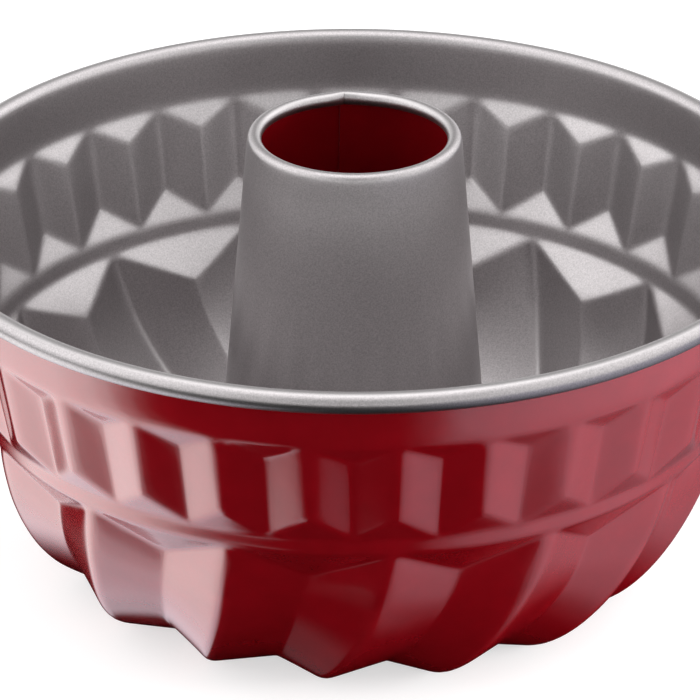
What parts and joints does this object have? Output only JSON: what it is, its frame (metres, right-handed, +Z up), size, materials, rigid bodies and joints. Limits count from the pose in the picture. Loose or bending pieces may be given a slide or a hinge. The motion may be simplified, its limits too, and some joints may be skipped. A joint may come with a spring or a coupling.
{
  "type": "ring cake pan",
  "caption": "Round fluted ring cake pan with a rolled rim, two rows of flutes that swirl towards the foot, and a tapered open centre tube.",
  "frame": {"origin": "on the table under the centre tube's axis, at the feet of the lower flutes", "axes": "+Z up along the centre tube, -Y towards the side that the picture shows, +X to the right of it"},
  "size_m": [0.2198, 0.2198, 0.1174],
  "materials": {
    "red_lacquer": "deep red gloss lacquer outside",
    "grey_nonstick": "warm grey satin non-stick coat inside and over the rim",
    "wire_steel": "bare drawn wire"
  },
  "bodies": {
    "root": {"pan_body": "red_lacquer", "centre_tube": "grey_nonstick", "rim_wire": "wire_steel"}
  },
  "joints": []
}
